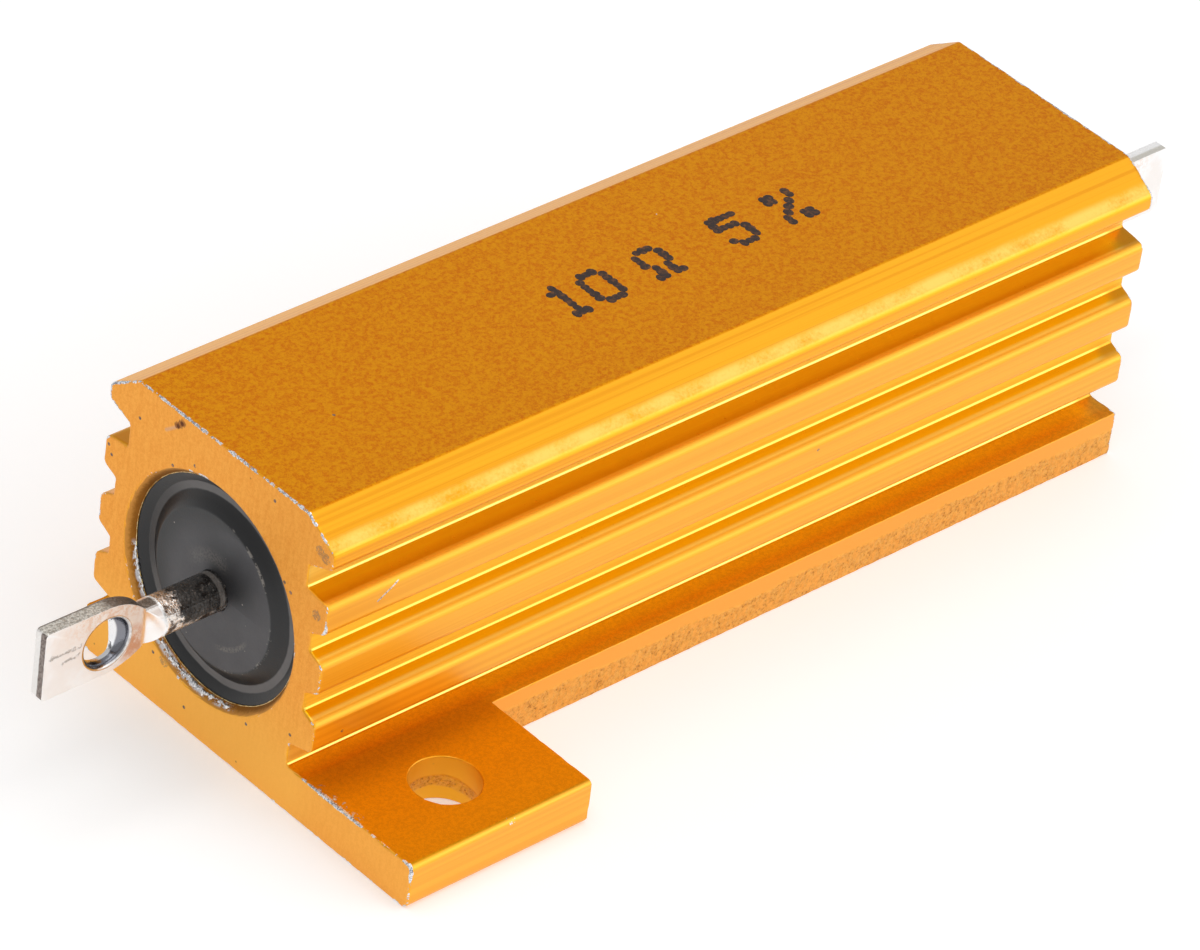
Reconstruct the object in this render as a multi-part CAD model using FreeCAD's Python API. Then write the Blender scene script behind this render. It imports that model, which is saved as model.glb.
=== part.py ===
import FreeCAD, Part
import math
import os

from FreeCAD import Vector

# A chassis-mounted power resistor: a wirewound element moulded into the bore of a finned
# aluminium housing, with two diagonal screw feet and a flattened, drilled terminal at each end.
# Millimetres, Z up. The length runs along X, the base rests on Z = 0 and the origin is under
# the middle of the housing.

# Housing, cut from an extruded profile
body_length = 50.0
base_thickness = 2.37
fin_reach = 7.5            # middle plane to a fin's tip
fin_tip_height = 1.5
fin_pitch = 3.22
fin_draft = 0.4            # fall of a fin's flank from the groove floor to the tip
upper_draft = 0.2          # the flatter flank on top of the highest fin
groove_depth = 0.85        # the two grooves beside the bore
deep_groove_depth = 1.47   # the grooves under the shoulder and over the base
base_groove_height = 1.6   # base to the lowest fin, at the tips
top_groove_height = 1.95   # highest fin to the shoulder, at the tips
shoulder_draft = 0.55
shoulder_tip_height = 0.8
shoulder_rise = 1.2        # shoulder corner to the flat top
shoulder_run = 1.85        # flat top's edge to the shoulder corner, across
fin_tip_radius = 0.38
groove_radius = 0.15
crown_radius = 0.3
bore_radius = 5.4
mouth_flare = 0.33         # the bore's mouth opens by this much
mouth_depth = 0.45

# Mounting feet, what is left when the extrusion's flanges are sheared away
hole_spacing_across = 21.4
hole_radius = 1.65
hole_from_end = 5.15
foot_length = 10.5
foot_margin = 3.7          # hole centre to the foot's outer edge
foot_top_radius = 0.3
foot_bottom_radius = 0.4
shear_allowance = 0.25     # the sheared flange stands this far past the fins

# Moulded compound that fills the bore
boss_sink = 0.29           # end face of the housing to the flat boss
boss_radius = 3.87
boss_foot_radius = 4.54
trough_sink = 0.77         # end face of the housing to the ring-shaped trough round the boss
trough_radius = 4.92

# Wirewound element inside
core_radius = 3.0
core_inset = 8.0           # end face of the housing to the core's end
cap_wall = 0.35
cap_end = 0.6
cap_depth = 3.0
ribbon_thickness = 0.2
ribbon_width = 0.6
ribbon_clearance = 0.02    # glaze between the ribbon and the core under it
winding_turns = 9

# Terminals, round rod pressed flat and drilled
shaft_radius = 0.95
shaft_reach = 3.15         # end face of the housing to the start of the pressed flats
ramp_length = 0.72
lug_thickness = 0.7
eye_radius = 1.3
eye_wall = 0.5             # metal beside the eye
eye_from_tip = 3.5
neck_margin = 0.73         # eye's edge to the end of the ramp
neck_half_width = 0.98
shoulder_length = 2.2      # of the curve from the lug's full width down to the neck
lug_rise = 0.1             # the metal spreads a little more upwards than down
tip_corner_radius = 0.2

# Worked out from the sizes above
half_length = body_length / 2
foot_half_width = hole_spacing_across / 2 + foot_margin
flange_half_width = fin_reach + shear_allowance
hole_x = half_length - hole_from_end
hole_y = hole_spacing_across / 2
bore_height = base_thickness + base_groove_height + fin_tip_height / 2 + fin_pitch
core_half = half_length - core_inset
cap_radius = core_radius + cap_wall
ribbon_inner = core_radius + ribbon_clearance
ribbon_outer = ribbon_inner + ribbon_thickness
winding_radius = ribbon_outer + ribbon_clearance
winding_length = 2 * (core_half - cap_depth)
shaft_start = core_half + cap_end
ramp_start = half_length + shaft_reach
neck_x = ramp_start + ramp_length
eye_x = neck_x + neck_margin + eye_radius
tip_x = eye_x + eye_from_tip
lug_half_width = eye_radius + eye_wall

X_AXIS = Vector(1, 0, 0)
Y_AXIS = Vector(0, 1, 0)
Z_AXIS = Vector(0, 0, 1)


def rounded_outline(corners):
    """Closed wire through the corners (point, radius), each rounded by a tangent arc."""
    starts = []
    ends = []
    arcs = []
    count = len(corners)
    for index, (corner, radius) in enumerate(corners):
        before = corners[index - 1][0] - corner
        after = corners[(index + 1) % count][0] - corner
        half_angle = before.getAngle(after) / 2
        longest_setback = 0.48 * min(before.Length, after.Length)
        setback = min(radius / math.tan(half_angle), longest_setback)
        start = corner + before.normalize() * setback
        end = corner + after.normalize() * setback
        starts.append(start)
        ends.append(end)
        if setback > 1e-6:
            bisector = (before + after).normalize()
            middle_distance = setback * (1 / math.cos(half_angle) - math.tan(half_angle))
            arcs.append(Part.Arc(start, corner + bisector * middle_distance, end).toShape())
        else:
            arcs.append(None)
    edges = []
    for index in range(count):
        if arcs[index] is not None:
            edges.append(arcs[index])
        edges.append(Part.LineSegment(ends[index], starts[(index + 1) % count]).toShape())
    return Part.Wire(edges)


def flank_corners():
    """(across, height, radius) of the profile's right flank, from the flat top to the base."""
    shallow_floor = fin_reach - groove_depth
    deep_floor = fin_reach - deep_groove_depth
    high_fin_top = bore_height + fin_pitch + fin_tip_height / 2
    shoulder_low = high_fin_top + top_groove_height
    shoulder_high = shoulder_low + shoulder_tip_height
    corners = [
        (fin_reach - shoulder_run, shoulder_high + shoulder_rise, crown_radius),
        (fin_reach, shoulder_high, fin_tip_radius),
        (fin_reach, shoulder_low, fin_tip_radius),
        (deep_floor, shoulder_low - shoulder_draft, groove_radius),
        (deep_floor, high_fin_top + upper_draft, groove_radius),
    ]
    for step in (1, 0, -1):
        middle = bore_height + step * fin_pitch
        upper_tip = middle + fin_tip_height / 2
        lower_tip = middle - fin_tip_height / 2
        if step < 1:
            corners.append((shallow_floor, upper_tip + fin_draft, groove_radius))
        corners.append((fin_reach, upper_tip, fin_tip_radius))
        corners.append((fin_reach, lower_tip, fin_tip_radius))
        if step > -1:
            corners.append((shallow_floor, lower_tip - fin_draft, groove_radius))
    lowest_tip = bore_height - fin_pitch - fin_tip_height / 2
    corners.append((deep_floor, lowest_tip - fin_draft, groove_radius))
    corners.append((deep_floor, base_thickness, groove_radius))
    corners.append((foot_half_width, base_thickness, foot_top_radius))
    corners.append((foot_half_width, 0, foot_bottom_radius))
    return corners


def extrusion():
    """The full-width profile with its bore, cut to length."""
    right = flank_corners()
    left = [(-across, height, radius) for across, height, radius in reversed(right)]
    corners = [(Vector(-half_length, y, z), radius) for y, z, radius in right + left]
    bar = Part.Face(rounded_outline(corners)).extrude(X_AXIS * body_length)
    bore = Part.makeCylinder(bore_radius, body_length, Vector(-half_length, 0, bore_height), X_AXIS)
    return bar.cut(bore)


def bore_mouth(side):
    """The flared ring cut from the bore's mouth at one end."""
    mouth_radius = bore_radius + mouth_flare
    return Part.makeCone(mouth_radius, bore_radius, mouth_depth,
                         Vector(side * half_length, 0, bore_height), X_AXIS * -side)


def flange_waste(side):
    """The flange that is sheared off beyond the foot, on the foot's side of the housing."""
    length = body_length - foot_length
    width = foot_half_width - flange_half_width
    start = -half_length if side > 0 else foot_length - half_length
    inner = flange_half_width if side > 0 else -foot_half_width
    return Part.makeBox(length, width, base_thickness, Vector(start, inner, 0))


def housing():
    solid = extrusion()
    for side in (-1, 1):
        screw_hole = Part.makeCylinder(hole_radius, base_thickness,
                                       Vector(side * hole_x, side * hole_y, 0), Z_AXIS)
        solid = solid.cut(bore_mouth(side))
        solid = solid.cut(flange_waste(side))
        solid = solid.cut(screw_hole)
    return solid


def turned(profile):
    """Solid of revolution about the bore's axis, from (along, radius) points."""
    points = [Vector(along, 0, bore_height + radius) for along, radius in profile]
    face = Part.Face(Part.makePolygon(points + points[:1]))
    return face.revolve(Vector(0, 0, bore_height), X_AXIS, 360)


def mirrored_ends(front_half):
    """A (along, radius) profile and its mirror image, in order round both ends."""
    return front_half + [(-along, radius) for along, radius in reversed(front_half)]


def moulded_body():
    """Compound between the bore and the element, with a trough and a raised boss at each end."""
    outside = [
        (-half_length + mouth_depth, bore_radius),
        (-half_length + trough_sink, trough_radius),
        (-half_length + trough_sink, boss_foot_radius),
        (-half_length + boss_sink, boss_radius),
        (-half_length + boss_sink, shaft_radius),
    ]
    inside = [
        (-shaft_start, shaft_radius),
        (-shaft_start, cap_radius),
        (-winding_length / 2, cap_radius),
        (-winding_length / 2, winding_radius),
    ]
    return turned(mirrored_ends(outside + inside))


def ceramic_core():
    return Part.makeCylinder(core_radius, 2 * core_half, Vector(-core_half, 0, bore_height), X_AXIS)


def end_cap(side):
    """Steel cup pressed over one end of the core."""
    rim = core_half - cap_depth
    profile = [
        (rim, core_radius),
        (rim, cap_radius),
        (shaft_start, cap_radius),
        (shaft_start, 0),
        (core_half, 0),
        (core_half, core_radius),
    ]
    return turned([(side * along, radius) for along, radius in profile])


def resistance_winding():
    """Ribbon wound on the core from cap to cap, trimmed flat against both rims."""
    pitch = winding_length / winding_turns
    lead = pitch / 2
    path = Part.makeHelix(pitch, winding_length + 2 * lead, ribbon_inner)
    half_width = ribbon_width / 2
    section = Part.makePolygon([
        Vector(ribbon_inner, 0, -half_width),
        Vector(ribbon_outer, 0, -half_width),
        Vector(ribbon_outer, 0, half_width),
        Vector(ribbon_inner, 0, half_width),
        Vector(ribbon_inner, 0, -half_width),
    ])
    coil = Part.Wire(path.Edges).makePipeShell([section], True, True)
    coil.translate(Vector(0, 0, -winding_length / 2 - lead))
    coil.rotate(Vector(0, 0, 0), Y_AXIS, 90)
    coil.translate(Vector(0, 0, bore_height))
    between_caps = Part.makeCylinder(ribbon_outer + ribbon_thickness, winding_length,
                                     Vector(-winding_length / 2, 0, bore_height), X_AXIS)
    return coil.common(between_caps)


def lug_blank():
    """The pressed flat seen from the side, from the neck out to the tip."""
    middle = bore_height + lug_rise
    full_x = neck_x + shoulder_length
    drop = lug_half_width - neck_half_width
    curve_radius = (shoulder_length ** 2 + drop ** 2) / (2 * drop)
    half_way = shoulder_length / 2
    sag = curve_radius - math.sqrt(curve_radius ** 2 - half_way ** 2)

    def point(x, height):
        return Vector(x, -lug_thickness / 2, height)

    curves = []
    for way in (1, -1):
        neck = point(neck_x, bore_height + way * neck_half_width)
        bend = point(full_x - half_way, middle + way * (lug_half_width - sag))
        shoulder = point(full_x, middle + way * lug_half_width)
        curves.append((neck, bend, shoulder))
    upper, lower = curves
    corner = tip_corner_radius
    diagonal = corner * (1 - math.sqrt(0.5))
    top_tip = middle + lug_half_width
    low_tip = middle - lug_half_width
    edges = [
        Part.Arc(*upper).toShape(),
        Part.LineSegment(upper[2], point(tip_x - corner, top_tip)).toShape(),
        Part.Arc(point(tip_x - corner, top_tip), point(tip_x - diagonal, top_tip - diagonal),
                 point(tip_x, top_tip - corner)).toShape(),
        Part.LineSegment(point(tip_x, top_tip - corner), point(tip_x, low_tip + corner)).toShape(),
        Part.Arc(point(tip_x, low_tip + corner), point(tip_x - diagonal, low_tip + diagonal),
                 point(tip_x - corner, low_tip)).toShape(),
        Part.LineSegment(point(tip_x - corner, low_tip), lower[2]).toShape(),
        Part.Arc(*reversed(lower)).toShape(),
        Part.LineSegment(lower[0], upper[0]).toShape(),
    ]
    return Part.Face(Part.Wire(edges)).extrude(Y_AXIS * lug_thickness)


def press_waste(side):
    """The wedge that the press takes off one side of the rod, from the ramp's start to the neck."""
    inner = side * lug_thickness / 2
    outer = side * shaft_radius
    low = bore_height - shaft_radius
    wedge = Part.makePolygon([
        Vector(ramp_start, outer, low),
        Vector(neck_x, inner, low),
        Vector(neck_x, outer, low),
        Vector(ramp_start, outer, low),
    ])
    return Part.Face(wedge).extrude(Z_AXIS * 2 * shaft_radius)


def terminal(side):
    """Rod welded to an end cap, pressed flat beyond the housing and drilled."""
    rod = Part.makeCylinder(shaft_radius, neck_x - shaft_start,
                            Vector(shaft_start, 0, bore_height), X_AXIS)
    for press_side in (-1, 1):
        rod = rod.cut(press_waste(press_side))
    eye = Part.makeCylinder(eye_radius, lug_thickness,
                            Vector(eye_x, -lug_thickness / 2, bore_height), Y_AXIS)
    solid = rod.fuse(lug_blank()).cut(eye).removeSplitter()
    if side < 0:
        solid.rotate(Vector(0, 0, 0), Z_AXIS, 180)
    return solid


def main():
    nodes = {
        "housing": housing(),
        "moulded_body": moulded_body(),
        "ceramic_core": ceramic_core(),
        "resistance_winding": resistance_winding(),
        "end_cap_front": end_cap(-1),
        "end_cap_rear": end_cap(1),
        "terminal_front": terminal(-1),
        "terminal_rear": terminal(1),
    }
    os.makedirs("parts", exist_ok=True)
    for name, shape in nodes.items():
        solid = shape.Solids[0] if len(shape.Solids) == 1 else shape
        solid.exportStep(os.path.join("parts", name + ".step"))
        facets = len(solid.tessellate(0.05)[1])
        print(f"{name:20s} solids {len(shape.Solids)} valid {solid.isValid()}"
              f" volume {solid.Volume:9.2f} facets {facets}")


main()
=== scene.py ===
# %% [markdown]
# # A chassis-mounted power resistor
#
# The construction comes in as a fixed frame: a finned aluminium housing, the black compound
# moulded into its bore, and a pressed lug at each end. This script gives those pieces their
# finish. It rounds and roughens the edges that a saw, a shear and a punch have left, builds
# each material from nodes, and sets up the camera and the light.

import math
from types import SimpleNamespace

import bmesh
import bpy
from mathutils import Matrix, Vector, noise


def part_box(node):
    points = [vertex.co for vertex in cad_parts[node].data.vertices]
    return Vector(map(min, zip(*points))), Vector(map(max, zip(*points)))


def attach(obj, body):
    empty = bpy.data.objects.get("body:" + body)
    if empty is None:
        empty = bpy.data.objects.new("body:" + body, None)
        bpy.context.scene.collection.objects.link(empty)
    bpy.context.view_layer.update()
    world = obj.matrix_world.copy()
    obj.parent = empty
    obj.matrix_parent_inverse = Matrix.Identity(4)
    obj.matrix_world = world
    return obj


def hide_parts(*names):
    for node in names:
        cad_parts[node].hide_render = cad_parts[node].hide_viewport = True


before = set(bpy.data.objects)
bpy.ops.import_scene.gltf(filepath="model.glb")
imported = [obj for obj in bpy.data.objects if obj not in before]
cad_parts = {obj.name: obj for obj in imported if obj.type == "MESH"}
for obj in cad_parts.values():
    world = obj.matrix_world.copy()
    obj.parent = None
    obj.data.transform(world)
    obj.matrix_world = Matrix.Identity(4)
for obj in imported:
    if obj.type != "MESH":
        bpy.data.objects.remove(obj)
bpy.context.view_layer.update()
MM = 0.001
print("nodes:", ", ".join(sorted(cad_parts)))

# %% [markdown]
# ## Sizes
#
# The boxes of the nodes give the end faces, the top, the feet, the tip of a lug, and the axis
# and the radius of the bore. What a box can't tell, such as the place of a screw hole, is
# given further down as a distance from one of these.

# %% Sizes from the frame, in millimetres
def box_mm(node):
    """Lowest and highest corner of a node, in millimetres."""
    low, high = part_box(node)
    return low / MM, high / MM


housing_low, housing_high = box_mm("housing")
moulding_low, moulding_high = box_mm("moulded_body")
lug_low, _ = box_mm("terminal_front")
end_x = housing_high.x
top_z = housing_high.z
foot_y = housing_high.y
tip_x = -lug_low.x
axis_z = (moulding_low.z + moulding_high.z) / 2
bore_radius = (moulding_high.z - moulding_low.z) / 2
print(f"end faces at {end_x:.2f}, top at {top_z:.2f}, bore radius {bore_radius:.2f} at {axis_z:.2f}")

# %% [markdown]
# ## Camera
#
# The photograph was taken with a long lens, from the front left and above, and the camera
# was tilted a little on its side. The angles and the distance below were found by fitting a
# pinhole camera to the housing's edges in a frame of 1200 by 950 pixels.

# %% Camera
def new_object(name, data):
    """A new object with that data, put in the scene."""
    made = bpy.data.objects.new(name, data)
    bpy.context.scene.collection.objects.link(made)
    return made


azimuth = math.radians(-46.93)
elevation = math.radians(35.96)
roll = math.radians(8.15)
distance = 331.8
aim = Vector((-4.08, -2.48, 7.31))
focal_pixels = 7390.4
frame_width_pixels = 1200

back = Vector((math.sin(azimuth) * math.cos(elevation),
               -math.cos(azimuth) * math.cos(elevation),
               math.sin(elevation)))
level_right = Vector((0, 0, 1)).cross(back).normalized()
level_up = back.cross(level_right)
right = math.cos(roll) * level_right + math.sin(roll) * level_up
up = math.cos(roll) * level_up - math.sin(roll) * level_right

camera_data = bpy.data.cameras.new("camera")
camera_data.sensor_fit = "HORIZONTAL"
camera_data.sensor_width = 36
camera_data.lens = focal_pixels / frame_width_pixels * camera_data.sensor_width
camera_data.clip_start = 0.01
camera = new_object("camera", camera_data)
turn = Matrix((right, up, back)).transposed().to_4x4()
camera.matrix_world = Matrix.Translation((aim + distance * back) * MM) @ turn
bpy.context.scene.camera = camera
print(f"lens {camera_data.lens:.0f} mm at {distance:.0f} mm")

# %% [markdown]
# ## Shader maths
#
# A material is easiest to read as arithmetic. `Value` wraps a socket, so that `a * b + 0.2`
# adds the Math nodes by itself. `Nodes` holds a node tree, and its `node` method makes any
# other node: the type, what goes into the sockets, the output, and the settings. A text that
# goes into a socket is a web colour. `Paint` is the tree of a material, with the patterns
# used here.

# %% Colours
def srgb(code):
    """A linear colour with alpha from a six-digit web colour."""
    parts = [int(code[i:i + 2], 16) / 255 for i in (0, 2, 4)]
    linear = [p / 12.92 if p <= 0.04045 else ((p + 0.055) / 1.055) ** 2.4 for p in parts]
    return (*linear, 1.0)


print("gold in linear light:", [round(part, 3) for part in srgb("f5b330")])


# %% Values and node trees
class Value:
    """An output of a node, which takes part in arithmetic."""

    def __init__(self, nodes, socket):
        self.nodes = nodes
        self.socket = socket

    def __add__(self, other):
        return self.nodes.math("ADD", self, other)

    def __sub__(self, other):
        return self.nodes.math("SUBTRACT", self, other)

    def __rsub__(self, other):
        return self.nodes.math("SUBTRACT", other, self)

    def __mul__(self, other):
        return self.nodes.math("MULTIPLY", self, other)

    def __truediv__(self, other):
        return self.nodes.math("DIVIDE", self, other)

    def __abs__(self):
        return self.nodes.math("ABSOLUTE", self)

    __radd__ = __add__
    __rmul__ = __mul__


class Nodes:
    """A node tree, with short ways to add to it."""

    def __init__(self, tree):
        self.tree = tree

    def node(self, kind, inputs=None, out=0, **settings):
        """Adds one node, and gives back its output of that name, or else the first one."""
        node = self.tree.nodes.new(kind)
        for name, setting in settings.items():
            setattr(node, name, setting)
        for name, value in (inputs or {}).items():
            socket = next(s for s in node.inputs if s.enabled and name in (s.identifier, s.name))
            self.feed(socket, value)
        found = next((s for s in node.outputs if s.enabled and out in (0, s.name)), None)
        return Value(self, found)

    def feed(self, socket, value):
        """Links a value to a socket, or sets the socket to a number, a vector or a web colour."""
        if isinstance(value, Value):
            self.tree.links.new(value.socket, socket)
        else:
            socket.default_value = srgb(value) if isinstance(value, str) else value

    def math(self, operation, a, b=0.0):
        node = self.tree.nodes.new("ShaderNodeMath")
        node.operation = operation
        self.feed(node.inputs[0], a)
        self.feed(node.inputs[1], b)
        return Value(self, node.outputs[0])

    def vector(self, operation, *vectors, out="Vector"):
        """A Vector Math node for one vector or more."""
        inputs = dict(zip(("Vector", "Vector_001", "Vector_002"), vectors))
        return self.node("ShaderNodeVectorMath", inputs, out, operation=operation)

    def scaled(self, vector, factor):
        """The vector, with its length multiplied by a factor."""
        return self.node("ShaderNodeVectorMath",
                         {"Vector": vector, "Scale": factor}, "Vector", operation="SCALE")


# %% Paints
class Paint(Nodes):
    """A material built from nodes. Lengths in its patterns are millimetres."""

    def __init__(self, name):
        self.material = bpy.data.materials.new(name)
        self.material.use_nodes = True
        super().__init__(self.material.node_tree)
        self.tree.nodes.clear()
        metres = self.node("ShaderNodeTexCoord", out="Object")
        self.place = self.vector("MULTIPLY", metres, (1 / MM,) * 3)
        self.x, self.y, self.z = self.split(self.place)

    def larger(self, a, b):
        return self.math("MAXIMUM", a, b)

    def split(self, vector):
        """The three parts of a vector."""
        first = self.node("ShaderNodeSeparateXYZ", {"Vector": vector})
        return [Value(self, socket) for socket in first.socket.node.outputs]

    def step(self, value, low, high):
        """0 at low and 1 at high, with a soft rise between them. High may be the lower one."""
        return self.node("ShaderNodeMapRange",
                         {"Value": value, "From Min": low, "From Max": high}, "Result",
                         interpolation_type="SMOOTHSTEP")

    def band(self, value, middle, half_width, soft):
        """1 near the middle value, and 0 away from it."""
        return self.step(abs(value - middle), half_width + soft, half_width)

    def mix(self, factor, a, b):
        """Colour a where the factor is 0, and colour b where it is 1."""
        return self.node("ShaderNodeMix",
                         {"Factor": factor, "A": a, "B": b}, "Result", data_type="RGBA")

    def cover(self, mask, colour):
        """Lays a colour over the paint's own colour, where the mask is 1."""
        self.colour = self.mix(mask, self.colour, colour)

    def noise(self, scale, detail, roughness, stretch=(1, 1, 1), seed=0.0):
        """Clouds around 0.5, about 1 / scale millimetres wide, longer where stretch is small."""
        factors = [scale * part for part in stretch]
        shift = (7.3 * seed, 3.1 * seed, 5.7 * seed)
        place = self.vector("MULTIPLY_ADD", self.place, factors, shift)
        return self.node("ShaderNodeTexNoise",
                         {"Vector": place, "Scale": 1.0, "Detail": detail, "Roughness": roughness})

    def specks(self, per_mm, share, size):
        """Small dots of uneven size. A share of the cells of a grid holds one."""
        near = self.node("ShaderNodeTexVoronoi", {"Vector": self.place, "Scale": per_mm}, "Distance")
        cell, spread, _ = self.split(Value(self, near.socket.node.outputs["Color"]))
        radius = size * per_mm * (0.4 + spread)
        return self.step(cell, 1 - share, 1.02 - share) * self.step(near / radius, 1.0, 0.7)

    def wavy(self, scale, amount):
        """The place, moved about by noise, so that a mark drawn on it is crooked."""
        wave = self.node("ShaderNodeTexNoise",
                         {"Vector": self.place, "Scale": scale, "Detail": 3.0}, "Color")
        shift = self.vector("SUBTRACT", wave, (0.5, 0.5, 0.5))
        return self.vector("MULTIPLY_ADD", shift, (2 * amount,) * 3, self.place)

    def mark(self, start, end, width, soft, place=None):
        """A stroke from start to end in millimetres, such as a scratch."""
        along = Vector(end) - Vector(start)
        offset = self.vector("SUBTRACT", place or self.place, start)
        reach = self.vector("DOT_PRODUCT", offset, tuple(along / along.length_squared), out="Value")
        reach = self.math("MINIMUM", self.larger(reach, 0.0), 1.0)
        away = self.vector("DISTANCE", offset, self.scaled(tuple(along), reach), out="Value")
        return self.step(away, width / 2 + soft, width / 2)

    def dots(self, places, size):
        """Small round dots at places in millimetres."""
        nearest = 1000.0
        for place in places:
            away = self.vector("DISTANCE", self.place, place, out="Value")
            nearest = self.math("MINIMUM", away, nearest)
        return self.step(nearest, size, size * 0.5)

    def facing(self):
        """The three parts of the direction that the surface faces."""
        return self.split(self.node("ShaderNodeNewGeometry", out="True Normal"))

    def from_axis(self, a, b):
        """Distance from an axis, given the two offsets across it."""
        return self.math("SQRT", a * a + b * b)

    def bump(self, height, depth):
        """A normal from a height of 0 to 1, which stands for that depth in millimetres."""
        return self.node("ShaderNodeBump", {"Height": height, "Distance": depth * MM}, "Normal")

    def surface(self, **inputs):
        """Ends the material in a Principled shader of its colour. Underscores stand for spaces."""
        named = {name.replace("_", " "): value for name, value in inputs.items()}
        named["Base Color"] = self.colour
        return self.end(self.node("ShaderNodeBsdfPrincipled", named, "BSDF"))

    def end(self, shader):
        self.node("ShaderNodeOutputMaterial", {"Surface": shader})
        return self.material


# %% [markdown]
# ## Floor and light
#
# Metal has no colour of its own until something is reflected in it, so what matters is how
# bright each direction is. The white floor shines up into the fins and the end face. The
# sky above the horizon is only half as bright, and it keeps the top face a deep amber. One
# soft box hangs overhead, and one stands to the right like a window: it draws the yellow
# lines in the fillets of the fins. A little of the floor's white is added for the camera and
# for reflections alone, so that it looks white without more light on the object.

# %% Floor
def make_floor(size):
    bm = bmesh.new()
    bmesh.ops.create_grid(bm, x_segments=1, y_segments=1, size=size / 2)
    mesh = bpy.data.meshes.new("floor")
    bm.to_mesh(mesh)
    bm.free()
    floor = new_object("floor", mesh)
    paint = Paint("floor_white")
    rays = [paint.node("ShaderNodeLightPath", out=f"Is {kind} Ray")
            for kind in ("Camera", "Glossy", "Transmission")]
    seen = paint.larger(paint.larger(rays[0], rays[1]), rays[2])
    white = paint.node("ShaderNodeBsdfDiffuse", {"Color": "e9e9e9"}, "BSDF")
    glow = paint.node("ShaderNodeEmission", {"Color": "ffffff", "Strength": seen * 0.3}, "Emission")
    both = paint.node("ShaderNodeAddShader", {"Shader": white, "Shader_001": glow}, "Shader")
    mesh.materials.append(paint.end(both))
    return floor


floor = make_floor(4.0)
print("floor of", floor.dimensions.x, "m")


# %% Lamps
def add_lamp(name, place, target, size, radiance):
    """A square soft box, turned to a target. Place, target and size are millimetres."""
    data = bpy.data.lights.new(name, "AREA")
    data.shape = "SQUARE"
    data.size = size * MM
    data.energy = radiance * math.pi * data.size ** 2
    lamp = new_object(name, data)
    lamp.location = Vector(place) * MM
    towards = Vector(target) * MM - lamp.location
    lamp.rotation_euler = towards.to_track_quat("-Z", "Y").to_euler()


middle = (housing_low + housing_high) / 2
add_lamp("overhead_softbox", (-60, 0, 700), middle, size=600, radiance=1.4)
add_lamp("window_softbox", (420, -470, 230), middle, size=400, radiance=0.9)

# %% [markdown]
# The sky is a smooth gradient, brighter towards the window on the right.

# %% Sky
world = bpy.data.worlds.new("studio")
bpy.context.scene.world = world
world.use_nodes = True
sky = Nodes(world.node_tree)
look = sky.node("ShaderNodeTexCoord", out="Generated")
window = Vector((0.55, -0.80, 0.25)).normalized()
towards_window = sky.vector("DOT_PRODUCT", look, tuple(window), out="Value")
brightness = sky.node("ShaderNodeMapRange",
                      {"Value": towards_window, "From Min": 0.55, "From Max": 0.95,
                       "To Min": 0.55, "To Max": 1.4}, "Result", interpolation_type="SMOOTHSTEP")
background = world.node_tree.nodes["Background"]
sky.feed(background.inputs["Color"], "ffffff")
sky.feed(background.inputs["Strength"], brightness)
bpy.context.scene.view_settings.view_transform = "Standard"
print("lamps:", [light.name for light in bpy.data.lights])

# %% [markdown]
# ## Worked edges
#
# A solid from CAD has mathematically sharp edges, and nothing real has. The saw, the shear
# and the punch leave a tiny round with nicks in it, and that line catches the light. So each
# visible piece is copied from its node, its sharp edges are cut into short lengths, rounded,
# and pushed in by noise. The corners of the mesh also carry an attribute named worn. Along the
# sawn edges it is 1 on the round and fades to 0 at a loop of the mesh that lies a fraction
# of a millimetre away. The paint reads it, and rubs the colour off there.

# %% Mesh helpers
def mesh_of(node):
    """A node's mesh in millimetres, with its corners joined and its flat faces whole."""
    bm = bmesh.new()
    bm.from_mesh(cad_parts[node].data)
    bmesh.ops.scale(bm, vec=(1 / MM,) * 3, verts=bm.verts)
    bmesh.ops.remove_doubles(bm, verts=bm.verts, dist=0.0005)
    bmesh.ops.dissolve_limit(bm, angle_limit=math.radians(0.5), verts=bm.verts, edges=bm.edges)
    return bm


def sharp_edges(bm, least_angle=30):
    return [edge for edge in bm.edges
            if len(edge.link_faces) == 2 and edge.calc_face_angle(0) > math.radians(least_angle)]


def cut_short(edges, length):
    """Splits the edges into lengths no longer than the one given, and returns them all."""
    pieces = []
    for edge in edges:
        count = math.ceil(edge.calc_length() / length)
        for left in range(count, 1, -1):
            part, _ = bmesh.utils.edge_split(edge, edge.verts[0], 1 / left)
            pieces.append(part)
        pieces.append(edge)
    return pieces


def push_in(vert, amount, rounded):
    """A move inwards that stays in the plane of every face that isn't rounded."""
    push = -vert.normal * amount
    for face in vert.link_faces:
        if face not in rounded:
            push -= face.normal * push.dot(face.normal)
    return push


def round_edges(bm, edges, radius, nick_depth, worn_from=0.0):
    """Rounds the edges and nicks the round. It counts as worn beyond a distance along X."""
    worn = bm.verts.layers.float.get("worn") or bm.verts.layers.float.new("worn")
    made = bmesh.ops.bevel(bm, geom=edges, offset=radius, offset_type="OFFSET", segments=2,
                           profile=0.5, affect="EDGES", clamp_overlap=True)
    rounded = set(made["faces"])
    bm.normal_update()
    pushes = []
    for vert in made["verts"]:
        vert[worn] = float(abs(vert.co.x) > worn_from)
        depth = max(0.0, noise.noise(vert.co * 2.5) + 0.35 * noise.noise(vert.co * 9))
        pushes.append((vert, push_in(vert, depth * nick_depth, rounded)))
    for vert, push in pushes:
        vert.co += push


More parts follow.
